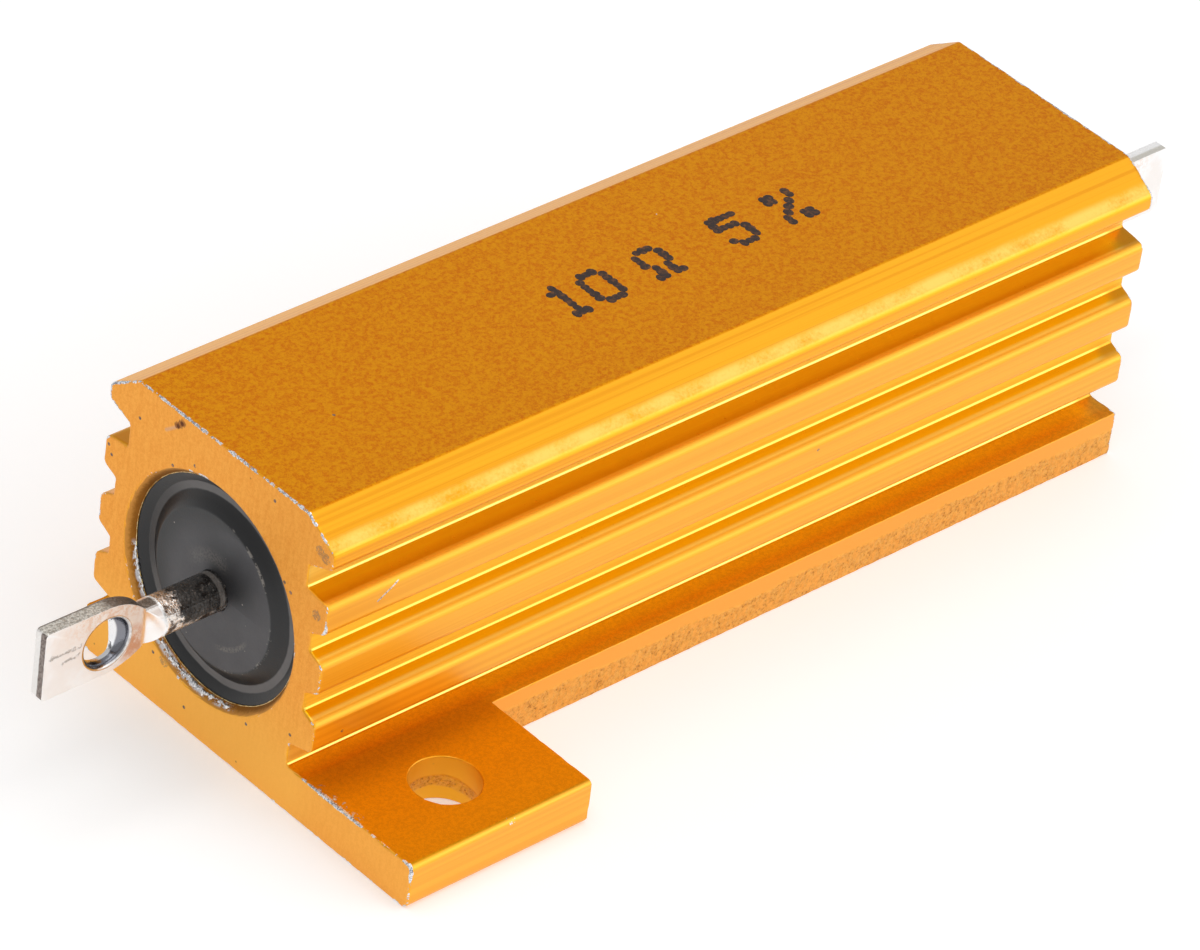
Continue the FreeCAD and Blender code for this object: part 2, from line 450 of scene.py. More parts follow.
def support_loops(bm, plane, width):
    """Loops a little way from the sawn edges, on the end faces and on the sides."""
    ends = [face for face in bm.faces if abs(face.normal.x) > 0.999
            and abs(abs(face.calc_center_median().x) - plane) < 0.001]
    bmesh.ops.inset_region(bm, faces=ends, thickness=width, use_boundary=True,
                           use_even_offset=True)
    for side in (-1, 1):
        bmesh.ops.bisect_plane(bm, geom=bm.verts[:] + bm.edges[:] + bm.faces[:], dist=0.0001,
                               plane_co=(side * (plane - width), 0, 0), plane_no=(1, 0, 0))


def show(name, mesh):
    """Puts a mesh in the scene as a piece that rides on the root."""
    piece = new_object(name, mesh)
    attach(piece, "root")
    print(f"{name}: {len(mesh.polygons)} faces")
    return piece


def piece_from(bm, name, node, material):
    """Turns a mesh in millimetres into a shown piece that stands for a node."""
    bmesh.ops.scale(bm, vec=(MM,) * 3, verts=bm.verts)
    mesh = bpy.data.meshes.new(name)
    bm.to_mesh(mesh)
    bm.free()
    mesh.shade_smooth()
    mesh.set_sharp_from_angle(angle=math.radians(50))
    mesh.materials.append(material)
    piece = show(name, mesh)
    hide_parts(node)
    weighted = piece.modifiers.new("weighted", "WEIGHTED_NORMAL")
    weighted.keep_sharp = True
    weighted.weight = 100

# %% [markdown]
# ## Gold anodising
#
# The housing is bare aluminium with a dyed oxide skin, so it is metal first: the colour
# tints what it reflects, and twice where one fin is mirrored in the next. The clear skin on
# top gives a thin white gloss, which is the shader's coat. The top face was etched more than
# the fins, so it is mottled, and it is painted a deeper amber, which is painted shade. The
# foot and the strip are painted deeper golds as painted shade, and the grooves carry painted
# highlights. The ends were sawn, and are matte, and they are painted lighter near the floor
# as painted light.
#
# Where the flange was sheared off, the upper third is burnished and the rest is torn and
# pitted. A punched hole looks the same. Along the sawn edges, and where the bore was flared,
# the gold is knocked off and bare aluminium shows.
#
# The paint is laid in layers, in the order in which the real finish came about: gold, cut
# metal, small marks, and bare metal last. A layer covers those below it where its mask is 1.

# %% Where the finishes change, in millimetres
hole_x = end_x - 5.15
hole_y = foot_y - 3.7
hole_radius = 1.65
base_top = 2.37
burnish_z = 0.62 * base_top
fin_face = 7.5
flange_cut = fin_face + 0.25
lower_groove = 4.2
upper_groove = 10.6
groove_top = 13.3
shoulder_line = 14.88
foot_start = end_x - 10.5
flare_rise = 0.33
flare_run = 0.45
mouth_radius = bore_radius + flare_rise
mouth_start = end_x - flare_run
print(f"screw hole at {hole_x:.2f}, {hole_y:.2f}, foot from {foot_start:.2f}")


# %% Masks of the housing
def housing_masks(paint):
    """Says where each face of the housing lies, as a value from 0 to 1."""
    face_x, face_y, face_z = paint.facing()
    across = abs(paint.y)
    along = abs(paint.x)
    towards_foot = paint.x * paint.math("SIGN", paint.y)
    radius = paint.from_axis(paint.y, paint.z - axis_z)
    from_hole = paint.from_axis(along - hole_x, across - hole_y)
    upright = paint.step(abs(face_z), 0.35, 0.15)
    upward = paint.step(face_z, 0.85, 0.97)
    low = paint.step(paint.z, base_top + 0.02, base_top - 0.02)
    flare = paint.step(radius, mouth_radius + 0.03, mouth_radius - 0.03)
    shear = paint.band(across, flange_cut, 0.03, 0.05) * paint.step(abs(face_y), 0.5, 0.7) * low
    hole = paint.step(from_hole, hole_radius + 0.1, hole_radius + 0.03) * upright * low
    inside = paint.step(across, fin_face - 0.2, fin_face - 0.45) * paint.step(abs(face_x), 0.4, 0.2)
    return SimpleNamespace(
        across=across,
        up_the_flare=radius - bore_radius,
        other_side=paint.step(paint.y, -1.0, 1.0),
        footless_end=paint.step(towards_foot, 1.5 - end_x, 0.7 - end_x),
        strip=paint.step(towards_foot, foot_start + 0.5, foot_start - 1.0),
        shoulder=paint.step(paint.z, groove_top - 0.3, groove_top + 0.1),
        top=upward * paint.step(paint.z, top_z - 0.4, top_z - 0.1),
        end=paint.step(abs(face_x), 0.75, 0.95) * paint.step(along, end_x - 0.3, end_x - 0.1),
        mouth=flare * paint.step(along, mouth_start - 0.1, mouth_start),
        hole=hole,
        cut=paint.larger(shear, hole),
        groove=inside * paint.step(paint.z, groove_top + 0.3, groove_top),
        level=upward * paint.step(paint.z, base_top + 0.3, base_top + 0.1),
        wall=paint.step(abs(face_z), 0.4, 0.2),
        floor=paint.step(face_z, 0.2, 0.4),
        fillet=paint.band(face_z, 0.5, 0.28, 0.1),
    )


# %% Grit of the housing
def housing_grit(paint):
    """The clouds and grains that the finishes of the housing share."""
    mottle = paint.noise(5.5, 2, 0.65, seed=1.0)
    grain = paint.noise(15.0, 1, 0.6, seed=2.0)
    return SimpleNamespace(
        mottle=mottle,
        grain=grain,
        speckled=paint.step(0.55 * mottle + 0.45 * grain, 0.4, 0.6),
        clouds=paint.noise(0.45, 2, 0.55),
        blotch=paint.noise(3.6, 2, 0.65, seed=6.0),
        torn=paint.noise(3.2, 3, 0.7, stretch=(1, 1, 0.7), seed=5.0),
        fine=paint.noise(7.0, 2, 0.75, seed=8.0),
    )


# %% Gold of fins and grooves
def groove_gold(paint, where):
    """Wall, floor and fillet mirror each other, so each is painted a gold of its own: a paler gold on the
    walls is painted reflection, and pale yellow on the fillets and along the outer edge of each floor are
    painted highlights.
    """
    upper = paint.step(paint.z, upper_groove - 0.2, upper_groove + 0.2)
    deep_wall = paint.larger(upper, paint.step(paint.z, lower_groove + 0.2, lower_groove - 0.2))
    floor = paint.mix(upper, "f0ba10", "dcb21e")
    # Painted highlight: a pale yellow line along the outer edge of each floor.
    floor = paint.mix(paint.step(where.across, 7.0, 7.2), floor, "fff080")
    # Painted reflection: the walls are painted a paler gold than the floors.
    gold = paint.mix(where.wall, "f8c464", paint.mix(deep_wall, "ffcc46", "fcd26a"))
    gold = paint.mix(where.floor, gold, floor)
    # Painted highlight: the fillets are painted pale yellow.
    gold = paint.mix(where.fillet, gold, paint.mix(deep_wall, "ffe060", "ffe878"))
    # On the other side these painted highlights give way to one plainer orange.
    gold = paint.mix(0.75 * where.other_side, gold, "ffb43a")
    # Near the end that has no foot, the floors are painted a darker orange.
    return paint.mix(0.8 * where.footless_end * where.floor, gold, "e8901c")


def lay_fins(paint, where, grit):
    """Fins and shoulder, with a painted highlight along the shoulder's edge on one side, and the grooves.
    """
    die_lines = paint.noise(1.0, 3, 0.65, stretch=(0.015, 5, 5), seed=3.0)
    lines = paint.step(die_lines, 0.4, 0.62)
    fins = paint.mix(0.5 * lines, "fbb626", "eea014")
    sloped = paint.mix(0.8 * paint.step(die_lines, 0.48, 0.64), "fcb41e", "ee9e10")
    # Painted highlight: a pale band along the shoulder's edge, on one side only, broken into clouds.
    painted_shoulder_highlight = paint.band(paint.z, shoulder_line, 0.05, 0.22) * (1 - where.other_side)
    painted_shoulder_highlight = painted_shoulder_highlight * paint.step(grit.clouds + 0.5 * grit.mottle, 0.4, 0.9)
    paint.colour = paint.mix(where.shoulder, fins, sloped)
    paint.cover(painted_shoulder_highlight, "ffd868")
    paint.cover(where.groove, paint.mix(0.2 * lines, groove_gold(paint, where), "d89018"))


# %% Gold of level faces, top and ends
def lay_flats(paint, where, grit):
    """The foot and the strip that the shear left, the etched top, and the sawn ends. The foot, the strip
    and the top are painted deeper golds than the fins as painted shade, and the ends are painted lighter
    near the floor as painted light.
    """
    # Painted shade: the foot and the strip get deeper golds than the fins, which change across their
    # width.
    foot = paint.mix(paint.step(where.across, 9.5, 12.0), "e8a40e", "e29e10")
    strip = paint.mix(paint.step(where.across, 6.5, 7.3), "ecb412", "fcb71c")
    strip = paint.mix(0.7 * where.footless_end, strip, "e8901c")
    level_gold = paint.mix(0.238 * grit.speckled, paint.mix(where.strip, foot, strip), "9a5a08")
    paint.cover(where.level, level_gold)

    etched = 0.5 * paint.step(grit.blotch, 0.4, 0.6) + 0.7 * grit.speckled
    # Painted shade: the top is painted a deeper amber than the fins. Its mottle is its own.
    paint.cover(where.top, paint.mix(etched, "ea8200", "fba90a"))

    saw_lines = paint.noise(1.0, 2, 0.6, stretch=(5, 6, 0.9), seed=4.0)
    sawn = paint.step(0.3 * saw_lines + 0.35 * grit.mottle + 0.35 * grit.grain, 0.36, 0.64)
    # Painted light: the sawn ends are painted lighter near the floor, less so at the sides.
    painted_floor_light = paint.step(paint.z, 7.0, 0.8) * (1 - 0.5 * paint.step(where.across, 6.0, 9.0))
    end_gold = paint.mix(0.8 * painted_floor_light, paint.mix(sawn, "f1a543", "fbb754"), "ffc65c")
    paint.cover(where.end, end_gold)


# %% Cut metal
def torn_part(paint, where, grit):
    """Where a sheared face or a punched hole is torn, below the burnished part."""
    height = paint.z - burnish_z + 0.9 * (grit.clouds - 0.5)
    sheared = paint.step(height, 0.12, -0.12) * (1 - where.hole)
    return sheared + paint.band(height, -0.55, 0.2, 0.15) * where.hole


def lay_cuts(paint, where, grit, rough_part):
    """Sheared faces, punched holes, and the flare at the mouth of the bore, with painted shade in the
    pits of the torn part and deeper in the flare.
    """
    patches = paint.step(grit.torn, 0.62, 0.42)
    # Painted shade: the pits lie where the torn bump is lowest, and they are painted dark brown.
    painted_pit_shade = rough_part * patches * paint.step(grit.fine, 0.4, 0.33)
    cut = paint.mix(where.hole, "f8b04a", "fcc436")
    ragged = paint.mix(paint.step(grit.fine, 0.4, 0.62), "cf9038", "eab65c")
    cut = paint.mix(rough_part * (0.35 + 0.35 * patches), cut, ragged)
    paint.cover(where.cut, paint.mix(painted_pit_shade * 0.85, cut, "a8661c"))

    # Painted shade: the flare is painted darker towards the bore.
    brighter = paint.step(where.up_the_flare + 0.2 * (grit.mottle - 0.5), 0.1, 0.28)
    paint.cover(where.mouth * (1 - where.end), paint.mix(brighter, "a8702c", "d69a4c"))


# %% Specks, bruises and a pit
end_specks = [(-end_x, y, z) for y, z in (
    (-3.52, 15.14), (7.25, 11.48), (5.42, 14.01), (-6.06, 4.09), (-3.26, 2.83), (7.01, 11.06),
    (3.11, 2.66), (-5.1, 11.23), (3.05, 12.93), (1.65, 13.77), (-5.4, 8.53), (0.77, 1.1), (-4.66, 11.51))]
end_bruises = [(-end_x, y, z) for y, z in ((-6.63, 14.41), (-6.98, 14.26), (-6.83, 11.11), (2.37, 2.62))]
pit_cores = [(-end_x, y, z) for y, z in ((2.72, 15.36), (2.95, 15.1))]
fin_specks = [(x, -fin_face, z) for x, z in (
    (-23.31, 4.51), (-6.2, 13.94), (-8.19, 10.32), (-11.05, 10.35), (4.6, 8.3))]
top_speck = (-19.53, -0.88, top_z)
print("specks:", len(end_specks) + len(fin_specks) + 1)


def lay_marks(paint, where, grit):
    """Specks and bruises, and the pit with a short trail on the front end."""
    specks = paint.specks(0.8, 0.5, 0.06)
    paint.cover(specks * (0.1 + 0.4 * where.end), "7c5a3c")
    bruises = 0.5 * paint.step(paint.dots(end_bruises, 0.42) + 2.0 * (grit.fine - 0.5), 0.65, 1.0)
    specked = paint.larger(paint.dots(end_specks, 0.11), bruises) * where.end
    spots = paint.larger(specked, 0.8 * paint.dots([*fin_specks, top_speck], 0.1))
    spots = spots * paint.step(grit.grain, 0.3, 0.5)
    paint.cover(spots, paint.mix(grit.blotch, "5c3a22", "7d8490"))

    pit = paint.mark((-end_x, 2.65, 15.42), (-end_x, 3.0, 15.1), 0.02, 0.36)
    pit = paint.step(pit + 1.6 * (grit.torn - 0.5), 0.4, 0.8) * where.end
    pit_trail = paint.mark((-end_x, 3.1, 14.95), (-end_x, 3.7, 14.45), 0.03, 0.12) * where.end
    paint.cover(0.4 * pit_trail, "c9b6ae")
    paint.cover(pit * (0.4 + 0.7 * grit.grain), "8a5236")
    paint.cover(0.8 * paint.dots(pit_cores, 0.15) * where.end, "5a2e1c")


# %% Bare metal
foot_chips = [(x, y, base_top) for x, y in (
    (-24.75, -8.1), (-24.8, -8.9), (-24.65, -9.5), (-24.85, -10.2), (-24.7, -10.5))]


def rubbed_edges(paint, where, grit, nibble):
    """Where the gold is off. The limit is lower where hands and tools reach."""
    high = paint.step(paint.z, 12.9, 13.6) * paint.step(where.up_the_flare, 0.5, 0.7)
    tips = paint.step(where.across, fin_face - 0.6, fin_face - 0.1)
    foot_corner = paint.step(paint.from_axis(where.across - foot_y, paint.z - base_top), 0.9, 0.2)
    foot_edge = paint.band(where.across, 9.6, 1.2, 0.4) * paint.step(paint.z, 2.0, 2.3)
    worn = paint.node("ShaderNodeAttribute", out="Fac", attribute_name="worn")
    knocked = worn + 2.2 * (nibble - 0.5) + 1.6 * (grit.clouds - 0.5)
    limit = 1.4 - 0.55 * high - 0.38 * tips * (1 - high) - 0.45 * foot_corner - 0.35 * foot_edge
    rubbed = paint.step(knocked - limit, -0.02, 0.04)
    scratch = paint.mark((-22.1, -fin_face, 11.09), (-20.99, -fin_face, 11.75), 0.05, 0.04)
    hair = paint.mark((-16.9, -7.3, 14.02), (-15.76, -7.3, 14.56), 0.03, 0.03)
    rubbed = paint.larger(rubbed, 0.85 * scratch + 0.5 * hair)
    return paint.larger(rubbed, paint.dots(foot_chips, 0.3) * paint.step(grit.mottle, 0.55, 0.6))


def flare_smears(paint, where, grit):
    """Two smears of bare metal on the front flare."""
    turn = paint.math("ARCTAN2", paint.z - axis_z, paint.y)
    beside = paint.band(turn, -0.38, 0.2, 0.08) * paint.band(where.up_the_flare, 0.06, 0.04, 0.06)
    below = paint.band(turn, -1.45, 0.45, 0.1) * paint.band(where.up_the_flare, 0.15, 0.05, 0.08)
    front = paint.step(paint.x, 0.6 - end_x, 0.5 - end_x)
    return paint.larger(beside, below) * paint.step(grit.torn, 0.45, 0.55) * front


# %% Anodised aluminium
def anodised_aluminium():
    paint = Paint("anodised_aluminium")
    where = housing_masks(paint)
    grit = housing_grit(paint)
    rough_part = torn_part(paint, where, grit)
    lay_fins(paint, where, grit)
    lay_flats(paint, where, grit)
    lay_cuts(paint, where, grit, rough_part)
    lay_marks(paint, where, grit)
    nibble = paint.noise(2.6, 3, 0.75, seed=10.0)
    rubbed = rubbed_edges(paint, where, grit, nibble)
    paint.cover(rubbed, paint.mix(paint.step(grit.grain + nibble, 0.8, 1.15), "868b95", "eef0f4"))
    paint.cover(0.9 * flare_smears(paint, where, grit) * where.mouth * (1 - where.end), "e4e6ea")

    matte = paint.larger(where.end, paint.larger(where.mouth, where.cut * 0.7))
    soft_wall = where.wall * (1 - where.fillet)
    roughness = 0.46 - where.groove * (0.2 - 0.3 * soft_wall) + 0.1 * matte + 0.05 * grit.mottle
    roughness = roughness + 0.1 * where.level * where.strip
    coat = 0.55 * (1 - matte) * (1 - rubbed) * (1 - 0.85 * where.top)
    coat = coat * (1 - paint.larger(where.groove, where.level)) * (1 - 0.5 * where.shoulder)
    texture = (0.4 * grit.mottle + 0.2 * grit.grain) * (0.4 + 0.9 * where.top)
    tearing = where.cut * rough_part * (2.5 * paint.step(grit.torn, 0.36, 0.54) + 2.2 * grit.fine)
    return paint.surface(Metallic=1.0, Roughness=roughness, Coat_Weight=coat, Coat_Roughness=0.25,
                         Normal=paint.bump(texture + tearing, 0.009))


# %% Housing
edge_step = 0.3


def make_housing():
    bm = mesh_of("housing")
    cut_short(sharp_edges(bm), edge_step)
    support_loops(bm, end_x, width=0.2)
    round_edges(bm, sharp_edges(bm), radius=0.06, nick_depth=0.06, worn_from=end_x - 0.1)
    piece_from(bm, "finned_housing", "housing", anodised_aluminium())


make_housing()

# %% [markdown]
# ## Moulded compound
#
# The black compound is a filled resin, pressed into the bore round the element. Its boss and
# the floor of its trough were scuffed by handling and hold a grey dust. The slopes between
# them stay clean and dark. A wedge of the boss beside the pin is painted dark as the pin's
# shadow, and on one side the boss's edge and the trough's grey ring are painted darker as
# painted shade. So the paint is a set of rings and arcs, by distance and angle from the axis.

# %% Black compound
def black_compound():
    paint = Paint("black_compound")
    radius = paint.from_axis(paint.y, paint.z - axis_z)
    turn = paint.math("ARCTAN2", paint.z - axis_z, paint.y)
    clouds = paint.noise(0.9, 3, 0.6)
    grain = paint.noise(9.0, 2, 0.7, seed=1.0)
    chips = paint.noise(2.6, 3, 0.8, seed=3.0)
    fuzzy = radius + 0.1 * (clouds - 0.5)
    # Painted shade: on the shaded side the boss's grey dust stops short of its edge.
    shaded_side = paint.band(turn, 0.5, 0.7, 0.9)
    boss = paint.step(fuzzy, 3.88, 3.74 - 1.5 * shaded_side)
    # Painted shadow of the pin: a wedge beside it keeps little grey, least of all near the pin.
    painted_pin_shadow = paint.band(turn, 2.1, 0.5, 0.9) * paint.step(radius, 4.2, 1.0)
    # The trough's grey ring is painted fainter on one side: painted shade.
    floor_ring = paint.band(fuzzy, 4.74, 0.14, 0.08) * (1 - 0.75 * paint.band(turn, 0.2, 0.3, 0.6))
    # Grey dust on the boss, less of it where shade is painted.
    dust_and_painted_shade = boss * (0.34 + 0.3 * clouds + 0.2 * grain) * (1 - 0.85 * painted_pin_shadow)
    paint.colour = paint.mix(dust_and_painted_shade, "111113", "656467")
    paint.cover(floor_ring * (0.75 + 0.4 * clouds), "787574")

    smear = paint.band(radius, 2.75, 0.05, 0.12) * paint.band(turn, -2.2, 0.25, 0.25)
    faint = paint.band(radius, 1.7, 0.05, 0.5) * paint.band(turn, 1.2, 0.5, 0.5)
    smear = paint.larger(smear, 0.6 * faint)
    rim = paint.band(radius, 3.84, 0.03, 0.08) * paint.step(paint.y, 0.8, -1.0)
    rim = rim * paint.step(0.5 * chips + 0.5 * clouds, 0.53, 0.61)
    crumbs = paint.specks(1.7, 0.25, 0.045) * (1 - floor_ring)
    paint.cover(0.3 * smear * paint.step(grain, 0.35, 0.6), "a39a90")
    paint.cover(0.6 * rim, "a8a29a")
    paint.cover(0.65 * crumbs, "b5aaa0")

    roughness = 0.34 + 0.14 * boss + 0.2 * floor_ring + 0.08 * grain
    return paint.surface(Roughness=roughness, Normal=paint.bump(grain + 0.8 * clouds, 0.006))


# %% Moulded ends
def make_moulding():
    bm = mesh_of("moulded_body")
    round_edges(bm, sharp_edges(bm), radius=0.05, nick_depth=0.0)
    piece_from(bm, "moulded_ends", "moulded_body", black_compound())


make_moulding()

# %% [markdown]
# ## Tinned terminals
#
# Each terminal is a steel pin with its outer end pressed flat, trimmed and punched, then
# dipped in tin. The pressed face is smooth and nearly white. A trimmed edge is bright where
# the blade slid and grey where the metal tore. The round shaft keeps the creases of drawing
# and pressing, with painted shade in their hollows and painted highlights on their ridges,
# and next to the moulding it is stained black by the compound that flashed over it.

# %% Sizes of a lug, in millimetres
lug_face = 0.35
shaft_end = 28.1
lug_start = 29.0
eye = Vector((tip_x - 3.5, 0, axis_z))
eye_radius = 1.3
entry_round = 0.13
lip_round = 1.19
lip_straight = 0.58
print(f"eye at {eye.x:.2f}, {eye.z:.2f}, with a radius of {eye_radius}")


# %% Masks of a terminal
def terminal_masks(paint):
    """Says where each part of a terminal lies, as a value from 0 to 1."""
    face_x, face_y, face_z = paint.facing()
    along = abs(paint.x)
    shaft = paint.step(along, shaft_end + 0.1, shaft_end - 0.1)
    from_eye = paint.from_axis(along - eye.x, paint.z - eye.z)
    eye_wall = paint.step(from_eye, eye_radius + 0.12, eye_radius + 0.08) * (1 - shaft)
    lug = (1 - shaft) * (1 - eye_wall)
    broad = paint.step(abs(face_y), 0.3, 0.5)
    return SimpleNamespace(
        along=along,
        shaft=shaft,
        eye_wall=eye_wall,
        broad=broad,
        trimmed=lug * (1 - broad),
        # Painted highlight: the round along the upper edge of each pressed face.
        painted_edge_highlight=lug * paint.band(face_z, 0.6, 0.32, 0.08) * paint.step(face_y, -0.2, -0.35),
        flat=lug * broad * paint.step(along, lug_start - 0.1, lug_start + 0.1),
        tip=paint.step(abs(face_x), 0.6, 0.8),
        rear=paint.step(paint.x, -1.0, 1.0),
    )


# %% Grit of a terminal
def terminal_grit(paint):
    """The clouds and grains that the finishes of a terminal share."""
    return SimpleNamespace(
        wash=paint.noise(0.8, 2, 0.6),
        creases=paint.noise(1.0, 4, 0.7, stretch=(1.3, 1.6, 1.6), seed=2.0),
        grain=paint.noise(8.0, 2, 0.7, seed=3.0),
        mottled=paint.noise(4.0, 3, 0.7, seed=5.0),
    )


# %% Pressed faces and trimmed edges
def lay_pressed(paint, where, grit):
    """Nearly white faces, with warm patches where the tin is thin."""
    paint.colour = paint.mix(paint.step(grit.wash, 0.4, 0.65), "faf6f3", "ffffff")
    near_root = paint.step(paint.from_axis(where.along - 29.4, paint.z - 7.4), 1.3, 0.4)
    copper = near_root * paint.step(where.along, 28.85, 29.1)
    paint.cover(0.9 * copper * paint.step(grit.creases + 0.4 * grit.grain, 0.5, 0.8), "dca680")
    tarnish = paint.step(paint.z, 8.4, 9.4) * paint.step(where.along, 34.0, 31.5)
    paint.cover(0.5 * tarnish * paint.step(grit.mottled, 0.42, 0.6), "e6bc98")


def lay_trimmed(paint, where, grit):
    """Trimmed edges, darker towards the pin and along the back edge, with a torn band across the tip. The
    rear lug's trimmed edges are painted whiter, and the round along the upper edge of each pressed face
    white: painted highlights.
    """
    grainy = paint.step(grit.grain, 0.35, 0.65)
    # Darker towards the pin and along the back edge.
    darker_trim = paint.larger(paint.step(where.along, 31.4, 30.6), 0.8 * paint.step(paint.y, 0.22, 0.3))
    trim = paint.mix(0.75 * darker_trim, paint.mix(grainy, "b4aea4", "efece4"), "6a5c52")
    # Painted highlight: the rear lug's trimmed edges are painted whiter than the front's.
    trim = paint.mix(where.rear, trim, paint.mix(paint.step(paint.y, -0.1, 0.05), "dad7cf", "ffffff"))
    torn_band = paint.band(paint.y + 0.1 * (grit.creases - 0.5), -0.17, 0.14, 0.06)
    tip = paint.mix(torn_band, "f2efec", paint.mix(grainy, "756963", "a39892"))
    paint.cover(where.trimmed, paint.mix(where.tip, trim, tip))
    # Painted highlight: a white line along the upper edge of each pressed face.
    paint.cover(where.painted_edge_highlight, "ffffff")


# %% Wall of the eye
def lay_eye(paint, where, grit):
    """The wall that the punch polished, with a grey band and a smudge."""
    band = paint.band(paint.y, -0.09, 0.17, 0.05)
    polished = paint.mix(band, paint.mix(grit.wash, "d8dade", "ffffff"), "85868d")
    entry = paint.step(paint.y, -0.26, -0.3)
    polished = paint.mix(entry, polished, paint.mix(grit.mottled, "8f857e", "ffffff"))
    smudge = paint.dots([(-30.36, 0.15, 7.18), (-30.5, 0.12, 7.1)], 0.2)
    paint.cover(where.eye_wall, paint.mix(0.8 * smudge, polished, "3a3c42"))


# %% Shaft
def shaft_stain(paint, where, grit):
    """Where compound flashed over the shaft, with a ragged edge."""
    edge = where.along + 1.4 * (grit.creases - 0.5) + 0.8 * (grit.grain - 0.5)
    stain = where.shaft * paint.step(edge, 27.4, 27.1)
    return stain * paint.step(paint.z + 1.3 * (grit.creases - 0.5), axis_z - 0.35, axis_z - 0.1)


def lay_shaft(paint, where, grit, stain):
    """The creased shaft, painted dark in the hollows of its creases and near white on their ridges as
    painted shade and painted highlights, its black stain, and a grey ring where it leaves the moulding.
    """
    # Painted shade and highlights: dark where the creases are low, near white where they are high.
    paint.cover(where.shaft, paint.mix(paint.step(grit.creases, 0.4, 0.56), "5a5049", "f6f3ef"))
    paint.cover(0.95 * stain, paint.mix(paint.step(grit.grain, 0.6, 0.72), "141211", "6f6862"))
    paint.cover(0.6 * where.shaft * paint.band(where.along, end_x - 0.05, 0.1, 0.08), "8d8782")


# %% Folds beyond the eye
folds = [[(x, -lug_face, z) for x, z in ends] for ends in (
    ((-34.1, 8.44), (-32.9, 8.45)), ((-32.9, 8.45), (-32.46, 8.43)), ((-33.4, 7.91), (-32.53, 8.02)))]
print(len(folds), "folds")


def fold_lines(paint, where, grit):
    """Crooked folds in the pressed face of the front lug."""
    crooked = paint.wavy(3.0, 0.24)
    lines = 0.0
    for start, end in folds:
        lines = paint.larger(lines, paint.mark(start, end, 0.03, 0.12, crooked))
    return lines * paint.step(grit.grain, 0.25, 0.5) * where.broad


# %% Tinned steel
def tinned_steel():
    paint = Paint("tinned_steel")
    where = terminal_masks(paint)
    grit = terminal_grit(paint)
    stain = shaft_stain(paint, where, grit)
    fold = fold_lines(paint, where, grit)
    lay_pressed(paint, where, grit)
    lay_trimmed(paint, where, grit)
    lay_eye(paint, where, grit)
    lay_shaft(paint, where, grit, stain)
    paint.cover(0.7 * fold, "8f857e")

    roughness = 0.28 + 0.1 * grit.wash + 0.2 * where.trimmed - 0.05 * where.shaft
    roughness = roughness - 0.12 * where.eye_wall + 0.15 * where.flat
    # Less metal where white is painted, so that the painted highlights show white.
    painted_white_share = paint.larger(0.6 * where.painted_edge_highlight, 0.3 * where.trimmed * where.rear)
    metal = 1 - 0.85 * stain - 0.45 * where.flat - painted_white_share
    height = where.shaft * (1.3 * grit.creases + 0.25 * grit.grain) + 0.25 * fold
    height = height + (0.06 + 0.5 * where.trimmed) * grit.grain
    return paint.surface(Metallic=metal, Roughness=roughness, Normal=paint.bump(height, 0.09))


# %% [markdown]
# The eye was punched from the front face. The edge where the punch went in is rolled over, so
# the eye's own edge gets a wider bevel there. Behind it the punch left a lip of metal inside
# the eye, thickest on the side of the pin, where it leaves a nearly straight edge. It is one
# outline, carried round the eye's axis, and its inner side follows that D shape.

# %% Eye of a lug
def eye_edges(bm, sign):
    """The edges round the eye on the front face."""
    middle_of_eye = Vector((sign * eye.x, -lug_face, eye.z))
    return [edge for edge in sharp_edges(bm)
            if all((vert.co - middle_of_eye).length < eye_radius + 0.05 for vert in edge.verts)]


def lip_reach(angle):
    """Distance from the eye's axis to the lip. An angle of 0 points to the pin."""
    straight_part = lip_straight / max(math.cos(angle - 0.12), 0.05)
    return (lip_round ** -5 + straight_part ** -5) ** -0.2


def add_lip(bm, sign, segments=72):
    """The lip of metal inside the eye, a closed ring."""
    wall = eye_radius + 0.015
    rings = []
    for i in range(segments):
        angle = 2 * math.pi * i / segments
        rough = 0.02 * noise.noise(Vector((4 * math.cos(angle), 4 * math.sin(angle), 2 * sign)))
        inner = lip_reach(angle) + rough
        bulge = 0.5 * (inner + lip_round)
        outline = [(1.4, -0.335), (1.33, -0.333), (1.26, -0.28), (1.21, -0.18), (lip_round, -0.05),
                   (bulge, 0.1), (inner, 0.24), (inner + 0.02, 0.33), (wall, 0.345)]
        rings.append([bm.verts.new((sign * (eye.x - r * math.cos(angle)), y, eye.z + r * math.sin(angle)))
                      for r, y in outline])
    faces = []
    for ring, after in zip(rings, rings[1:] + rings[:1]):
        for j in range(len(ring)):
            k = (j + 1) % len(ring)
            faces.append(bm.faces.new((ring[j], ring[k], after[k], after[j])))
    bmesh.ops.recalc_face_normals(bm, faces=faces)


# %% Lugs
def make_terminal(end, material):
    bm = mesh_of("terminal_" + end)
    sign = -1 if end == "front" else 1
    round_edges(bm, eye_edges(bm, sign), entry_round, nick_depth=0.02)
    round_edges(bm, cut_short(sharp_edges(bm, 50), edge_step), radius=0.07, nick_depth=0.03)
    add_lip(bm, sign)
    piece_from(bm, "lug_" + end, "terminal_" + end, material)


tin = tinned_steel()
for end in ("front", "rear"):
    make_terminal(end, tin)

# %% [markdown]
# ## Lips and burrs at the mouth of the bore
#
# The compound sits behind a thin lip of metal, and where the bore was flared after anodising,
# the tool tore shreds of bare metal from the flare. Both follow an arc round the bore and swell
# and thin as they go, so one Geometry Nodes tree makes them: an arc, moved up and down the
# flare by noise, and swept with a small round whose size is more noise. The lip is the same
# tree with a full turn and hardly any noise.

